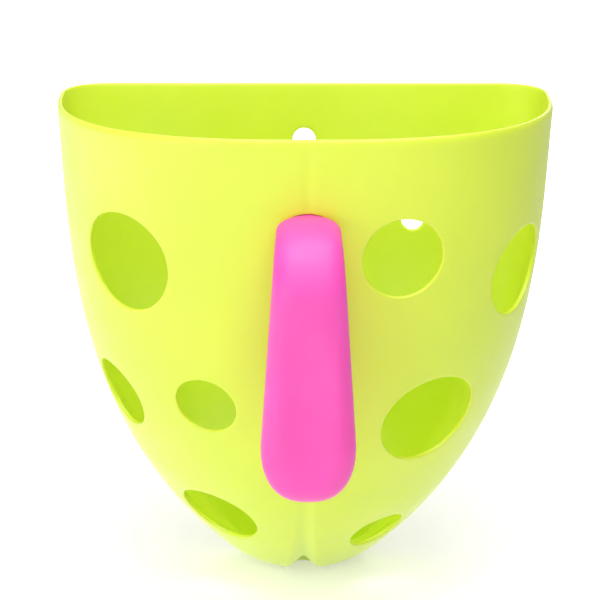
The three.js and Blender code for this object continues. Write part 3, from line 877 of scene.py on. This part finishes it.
def makeRearCover():
    surface = Surface()
    rows = shellRows(-1, handle["coverStart"] + handle["partingGap"], handleTip)
    surface.skin(rows)
    surface.fan(rows[0])
    surface.fan(rows[-1])
    piece = surface.solid("handleRearCover")
    for distance in coverScrew["places"].values():
        _, _, seat, back = coverDepths(distance)
        shank = coverScrew["shank"] / 2 + screwClearance
        head = coverScrew["head"] / 2 + screwClearance
        sleeveEnd = back + handle["sleeveInset"]
        sleeve = coverRod(distance, -handle["partingGap"] / 2, sleeveEnd, handle["sleeveRadius"])
        combine(piece, sleeve, "UNION")
        combine(piece, coverRod(distance, cutMargin, back - cutMargin, shank), "DIFFERENCE")
        combine(piece, coverRod(distance, seat, back - 2 * cutMargin, head), "DIFFERENCE")
    settle(piece, pinkPlastic, "handle_rear_cover")


makeFrontShell()
makeRearCover()


# Clamp plate inside the basket

clampPlate = {
    "half": 17 * mm, "halfHeight": 12 * mm, "thickness": 3 * mm, "corner": 4 * mm,
    "edge": 0.8 * mm, "edgeRows": 6, "ease": 0.3 * mm,
}


def makeClampPlate():
    turns = evenTurns(ringSides)
    outline = boxOutline(clampPlate["half"], clampPlate["halfHeight"], clampPlate["corner"], 0.0, turns)
    hole = circleOutline(clampScrew["shank"] / 2 + screwClearance, turns)
    low = plateFace
    high = plateFace + clampPlate["thickness"]
    ease = clampPlate["ease"]
    profile = [(hole(ease), low), (outline(-ease), low), (outline(0.0), low + ease)]
    for turn in np.linspace(0, np.pi / 2, clampPlate["edgeRows"]):
        ring = outline(-clampPlate["edge"] * (1 - np.cos(turn)))
        profile.append((ring, high - clampPlate["edge"] * (1 - np.sin(turn))))
    profile += [(hole(ease), high), (hole(0.0), high - ease), (hole(0.0), low + ease)]
    rows = [fromRoot(ring[:, 0], y, ring[:, 1]) for ring, y in profile]
    surface = Surface()
    surface.skin(rows + rows[:1])
    settle(surface.solid("rootClampPlate"), pinkPlastic, "root_clamp_plate")


makeClampPlate()


# Screws: pan head with a cross recess and a rolled thread

screwForm = {  # shares of the head or the shank, two lengths, and counts for the mesh
    "recessReach": 0.28, "recessHalf": 0.065, "recessDepth": 0.55, "recessTaper": 0.6,
    "mouthLift": 0.3 * mm, "mouthGrow": 1.06, "threadDepth": 0.16, "threadShape": 1.5,
    "tipFlat": 0.02 * mm, "tipShare": 0.02, "headHub": 0.04, "headRows": 14, "pitchRows": 8, "sides": 48,
}


def crossRecess(top, along, across, up, screw):
    # tapered cross of the driver recess, sunk from the top of the head
    form = screwForm
    reach = form["recessReach"] * screw["head"]
    half = form["recessHalf"] * screw["head"]
    arms = [across, up, -across, -up]
    corners = []
    for arm, turned in zip(arms, arms[1:] + arms[:1]):
        corners += [arm * reach - turned * half, arm * reach + turned * half, (arm + turned) * half]
    corners = np.array(corners)
    mouth = top - along * form["mouthLift"] + corners * form["mouthGrow"]
    floor = top + along * form["recessDepth"] * screw["headHeight"] + corners * form["recessTaper"]
    recess = Surface()
    recess.skin([mouth, floor])
    recess.fan(mouth)
    recess.fan(floor)
    return recess


def makeScrew(name, screw, seat, along, length, node):
    form = screwForm
    aside = [0.9, 0.2, 0.1]  # any direction off the screw's own
    along = unit(along)
    across = unit(np.cross(along, aside))
    up = np.cross(along, across)
    turns = evenTurns(form["sides"])
    ring = np.cos(turns)[:, None] * across + np.sin(turns)[:, None] * up
    rows = []
    # domed head, from its middle out to the seat
    for t in np.linspace(form["headHub"], 1, form["headRows"]):
        radius = screw["head"] / 2 * (2 * t * (1 - t) + t * t)
        rows.append(seat + ring * radius - along * screw["headHeight"] * (1 - t * t))
    # shank, with a thread that fades at both ends and a pointed tip
    crest = screw["shank"] / 2
    depth = form["threadDepth"] * screw["shank"]
    step = screw["pitch"] / form["pitchRows"]
    rows.append(seat + ring * crest)
    threadEnd = length - crest
    for z in np.arange(step, length - form["tipFlat"], step):
        wave = np.abs((z / screw["pitch"] - turns / (2 * np.pi)) % 1 - 0.5) * 2
        fade = np.clip(min(z, length - z) / screw["pitch"], 0, 1)
        taper = np.clip((length - z) / crest, form["tipShare"], 1) if z > threadEnd else 1
        radius = (crest - depth * fade * (1 - wave ** form["threadShape"])) * taper
        rows.append(seat + ring * radius[:, None] + along * z)
    surface = Surface()
    surface.skin(rows)
    surface.fan(rows[0])
    surface.fan(rows[-1])
    piece = surface.solid(name)
    recess = crossRecess(seat - along * screw["headHeight"], along, across, up, screw)
    combine(piece, recess, "DIFFERENCE")
    settle(piece, stainless, node, sharpAngle=30)


for level, distance in coverScrew["places"].items():
    _, screwTip, seat, _ = coverDepths(distance)
    head = onHandle(distance, 0.0, seat - screwClearance)
    inward = onHandle(distance, 0.0, 0.0) - head
    screwLength = screwTip - seat + screwClearance
    name = "coverScrew" + level.capitalize()
    makeScrew(name, coverScrew, head, inward, screwLength, "cover_screw_" + level)
clampSeat = fromRoot(0.0, plateFace + clampPlate["thickness"] + screwClearance, 0.0)
clampLength = clampScrew["grip"] + clampPlate["thickness"] + root["seatGap"] + screwClearance
makeScrew("rootClampScrew", clampScrew, clampSeat, -rootY, clampLength, "root_clamp_screw")


# Camera at the photographed angle

view = {
    "eye": (-0.0180, -1.1132, 0.3061), "target": (0.0, -0.065, -0.0271), "roll": 0.22,
    "lens": 125.35, "sensor": 36.0, "shift": (-0.00903, 0.00043),
}


def placeCamera(shot):
    data = bpy.data.cameras.new("viewCamera")
    data.lens = shot["lens"]
    data.sensor_width = shot["sensor"]
    data.shift_x, data.shift_y = shot["shift"]
    camera = bpy.data.objects.new("viewCamera", data)
    bpy.context.scene.collection.objects.link(camera)
    aim = (Vector(shot["target"]) - Vector(shot["eye"])).to_track_quat("-Z", "Y").to_matrix().to_4x4()
    roll = Matrix.Rotation(math.radians(shot["roll"]), 4, "Z")
    camera.matrix_world = Matrix.Translation(shot["eye"]) @ aim @ roll
    bpy.context.scene.camera = camera


placeCamera(view)


# Studio: white world, dimmer to the right, and a pale floor that turns white away from the object.
# Broad soft light from above the front and from the camera's side, a lamp over the mouth for the
# inside, a low panel on the left, a lamp behind for the flat back, and a low soft key that casts
# the handle's shadow to the right.

studio = {
    "white": "#ffffff", "worldLight": 0.52, "worldRight": 0.46,
    "floorColour": "#f2f2f2", "floorSize": 7.0, "floorGap": 0.2 * mm,
    "floorLift": 0.38, "liftFrom": 0.22, "liftTo": 0.7,
    "mirrorLift": (1.0, 0.2), "mirrorSpan": (0.0, 0.5),
    "aim": (0.0, -0.07, -0.05),
    "lamps": {  # place, width, height and power
        "key": ((-0.70, -1.08, 0.05), 0.35, 0.45, 1.75),
        "front": ((0.0, -1.05, 1.05), 1.4, 1.4, 8.9),
        "face": ((0.0, -1.6, 0.25), 1.0, 0.6, 0.9),
        "mouth": ((0.0, -0.22, 0.62), 0.6, 0.4, 2.4),
        "left": ((-0.62, -0.15, -0.10), 0.8, 0.16, 0.58),
        "back": ((0.5, 1.4, 0.6), 1.0, 0.8, 6.0),
    },
}


def backgroundRays(tree):
    # rays that show the background: seen directly, then in gloss or through a clear body
    rays = addNode(tree, "ShaderNodeLightPath").outputs
    mirrored = addNode(tree, "ShaderNodeMath", {
        0: rays["Is Glossy Ray"], 1: rays["Is Transmission Ray"],
    }, operation="MAXIMUM")
    return rays["Is Camera Ray"], mirrored.outputs[0]


def makeWorld(setup):
    world = bpy.data.worlds.new("studioWorld")
    bpy.context.scene.world = world
    tree = nodeTree(world)
    seen, mirrored = backgroundRays(tree)
    heading = addNode(tree, "ShaderNodeSeparateXYZ", {
        "Vector": addNode(tree, "ShaderNodeTexCoord").outputs["Generated"],
    })
    side = addNode(tree, "ShaderNodeMapRange", {
        "Value": heading.outputs["X"], "From Min": -1.0, "From Max": 1.0,
        "To Min": 1.0, "To Max": setup["worldRight"],
    })
    level = addNode(tree, "ShaderNodeMapRange", {
        "Value": mirrored, "To Min": setup["worldLight"], "To Max": 1.0,
    })
    around = addNode(tree, "ShaderNodeMath", {
        0: side.outputs["Result"], 1: level.outputs["Result"],
    }, operation="MULTIPLY")
    strength = addNode(tree, "ShaderNodeMath", {0: around.outputs[0], 1: seen}, operation="MAXIMUM")
    light = addNode(tree, "ShaderNodeBackground", {
        "Color": linearColour(setup["white"]), "Strength": strength.outputs[0],
    })
    addNode(tree, "ShaderNodeOutputWorld", {"Surface": light.outputs["Background"]})


def makeFloor(setup):
    half = setup["floorSize"] / 2
    height = bodyLow.z - setup["floorGap"]
    mesh = bpy.data.meshes.new("studioFloor")
    corners = [(-half, -half), (half, -half), (half, half), (-half, half)]
    mesh.from_pydata([(x, y, height) for x, y in corners], [], [(0, 1, 2, 3)])
    floor = bpy.data.objects.new("studioFloor", mesh)
    bpy.context.scene.collection.objects.link(floor)
    material = bpy.data.materials.new("paleFloorMatt")
    material.cycles.emission_sampling = "NONE"  # the lift is only seen, it lights nothing
    tree = nodeTree(material)
    matt = addNode(tree, "ShaderNodeBsdfDiffuse", {"Color": linearColour(setup["floorColour"])})
    place = addNode(tree, "ShaderNodeTexCoord").outputs["Object"]
    away = addNode(tree, "ShaderNodeVectorMath", {0: place}, operation="LENGTH")
    across = addNode(tree, "ShaderNodeSeparateXYZ", {"Vector": place})
    level = addNode(tree, "ShaderNodeMapRange", {
        "Value": away.outputs["Value"], "From Min": setup["liftFrom"], "From Max": setup["liftTo"],
        "To Min": setup["floorLift"], "To Max": 1.0,
    })
    mirrorLevel = addNode(tree, "ShaderNodeMapRange", {
        "Value": across.outputs["X"],
        "From Min": setup["mirrorSpan"][0], "From Max": setup["mirrorSpan"][1],
        "To Min": setup["mirrorLift"][0], "To Max": setup["mirrorLift"][1],
    })
    seen, mirrored = backgroundRays(tree)
    shown = addNode(tree, "ShaderNodeMath", {0: level.outputs["Result"], 1: seen}, operation="MULTIPLY")
    strength = addNode(tree, "ShaderNodeMath", {
        0: mirrorLevel.outputs["Result"], 1: mirrored, 2: shown.outputs[0],
    }, operation="MULTIPLY_ADD")
    lift = addNode(tree, "ShaderNodeEmission", {
        "Color": linearColour(setup["white"]), "Strength": strength.outputs["Value"],
    })
    both = addNode(tree, "ShaderNodeAddShader", {0: matt.outputs[0], 1: lift.outputs[0]})
    addNode(tree, "ShaderNodeOutputMaterial", {"Surface": both.outputs[0]})
    mesh.materials.append(material)


def makeLamps(setup):
    for name, (place, width, height, power) in setup["lamps"].items():
        lamp = bpy.data.lights.new(name + "Light", "AREA")
        lamp.shape = "RECTANGLE"
        lamp.size = width
        lamp.size_y = height
        lamp.energy = power
        holder = bpy.data.objects.new(name + "Light", lamp)
        holder.visible_camera = False
        bpy.context.scene.collection.objects.link(holder)
        aim = (Vector(setup["aim"]) - Vector(place)).to_track_quat("-Z", "Y").to_matrix().to_4x4()
        holder.matrix_world = Matrix.Translation(place) @ aim


bpy.context.scene.view_settings.view_transform = "Standard"
makeWorld(studio)
makeFloor(studio)
makeLamps(studio)
print("stage: camera, lights and floor placed")
